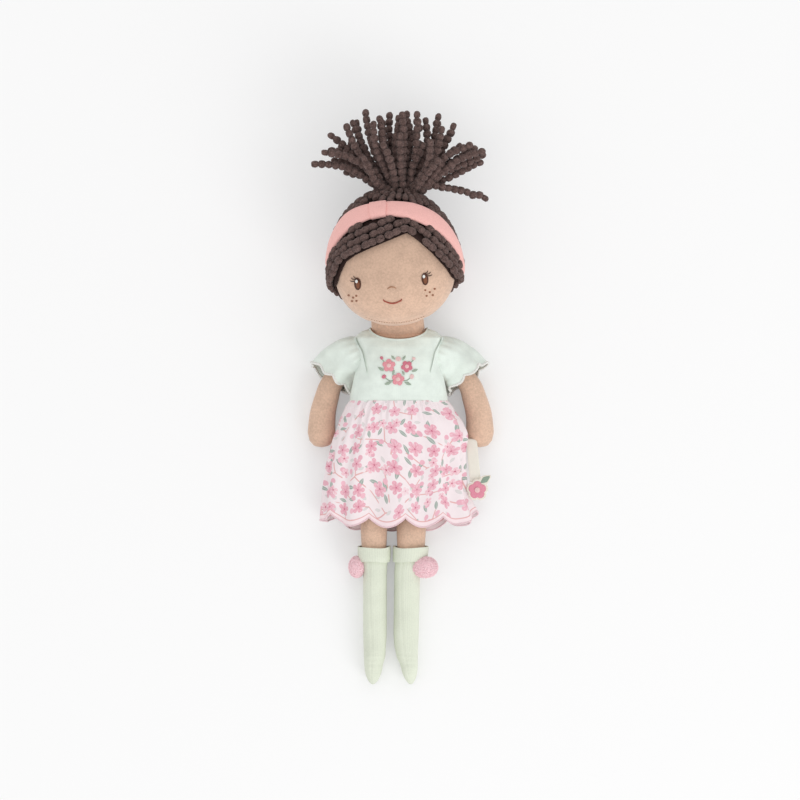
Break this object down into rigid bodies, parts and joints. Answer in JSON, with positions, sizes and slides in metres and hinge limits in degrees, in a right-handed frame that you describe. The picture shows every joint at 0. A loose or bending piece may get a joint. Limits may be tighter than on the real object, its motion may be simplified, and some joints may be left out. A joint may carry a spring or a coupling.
{
  "type": "rag doll",
  "caption": "Soft rag doll lying on its back, with beaded yarn hair in a high ponytail, a padded headband, a dress with a gathered skirt, and pull-on socks with pompoms.",
  "frame": {"origin": "middle of the flat back of the bodice, on the surface that the doll lies on, 18 mm above the waist seam", "axes": "+Z out of the chest, up from the surface; +Y from the feet to the head; +X to the doll's own left"},
  "size_m": [0.1162, 0.3549, 0.0693],
  "materials": {
    "plush": "matte",
    "hair_cloth": "matte",
    "yarn": "matte",
    "band_cloth": "matte",
    "jersey": "matte",
    "printed_cotton": "matte",
    "white_thread": "matte",
    "rose_thread": "matte",
    "brown_thread": "satin",
    "lip_thread": "matte",
    "nose_thread": "matte",
    "sock_knit": "matte",
    "pompom_yarn": "matte",
    "label_tape": "matte",
    "charm_felt": "matte"
  },
  "bodies": {
    "torso": {"torso": "plush", "bodice": "jersey", "neckline_binding": "jersey", "bodice_posy": "rose_thread", "skirt": "printed_cotton", "skirt_hem": "rose_thread", "sleeve_right": "jersey", "sleeve_left": "jersey", "sleeve_edging_right": "white_thread", "sleeve_edging_left": "white_thread"},
    "neck": {"neck": "plush"},
    "head": {"head": "plush", "hair_cap": "hair_cloth", "crown_yarn": "yarn", "nape_yarn": "yarn", "fringe_right": "yarn", "fringe_left": "yarn", "ponytail": "yarn", "ponytail_tie": "hair_cloth", "headband": "band_cloth", "headband_loop": "band_cloth", "eye_right": "brown_thread", "eye_left": "brown_thread", "mouth": "lip_thread", "nose": "nose_thread"},
    "arm_right": {"arm_right": "plush"},
    "arm_left": {"arm_left": "plush"},
    "leg_right": {"leg_right": "plush"},
    "leg_left": {"leg_left": "plush"},
    "sock_right": {"sock_right": "sock_knit", "pompom_right": "pompom_yarn"},
    "sock_left": {"sock_left": "sock_knit", "pompom_left": "pompom_yarn"},
    "label": {"label": "label_tape", "charm": "charm_felt"}
  },
  "joints": [
    {"name": "neck_nod", "type": "hinge", "parent": "torso", "child": "neck", "pos_m": [-0.0008, 0.02, 0.021], "axis": [1, 0, 0], "range_deg": [0, 25]},
    {"name": "head_turn", "type": "hinge", "parent": "neck", "child": "head", "pos_m": [-0.0008, 0.02, 0.021], "axis": [-0.0698, 0.9976, 0], "range_deg": [-25, 25]},
    {"name": "arm_right_swing", "type": "hinge", "parent": "torso", "child": "arm_right", "pos_m": [-0.0243, 0.0094, 0.0125], "axis": [-0.9755, -0.2198, 0], "range_deg": [0, 135], "deforming": ["sleeve_right", "sleeve_edging_right"]},
    {"name": "arm_left_swing", "type": "hinge", "parent": "torso", "child": "arm_left", "pos_m": [0.0227, 0.0094, 0.0125], "axis": [-0.9755, 0.2198, 0], "range_deg": [0, 135], "deforming": ["sleeve_left", "sleeve_edging_left"]},
    {"name": "leg_right_swing", "type": "hinge", "parent": "torso", "child": "leg_right", "pos_m": [-0.0158, -0.056, 0.00925], "axis": [-1, 0, 0], "range_deg": [0, 90], "deforming": ["skirt", "skirt_hem"]},
    {"name": "leg_left_swing", "type": "hinge", "parent": "torso", "child": "leg_left", "pos_m": [0.0076, -0.056, 0.00925], "axis": [-1, 0, 0], "range_deg": [0, 90], "deforming": ["skirt", "skirt_hem"]},
    {"name": "sock_right_pull", "type": "slide", "parent": "leg_right", "child": "sock_right", "axis": [0, -1, 0], "range_m": [0, 0.095]},
    {"name": "sock_left_pull", "type": "slide", "parent": "leg_left", "child": "sock_left", "axis": [0, -1, 0], "range_m": [0, 0.095]},
    {"name": "label_flap", "type": "hinge", "parent": "torso", "child": "label", "pos_m": [0.042, -0.056, 0.01405], "axis": [0, -1, 0], "range_deg": [-45, 50]}
  ]
}
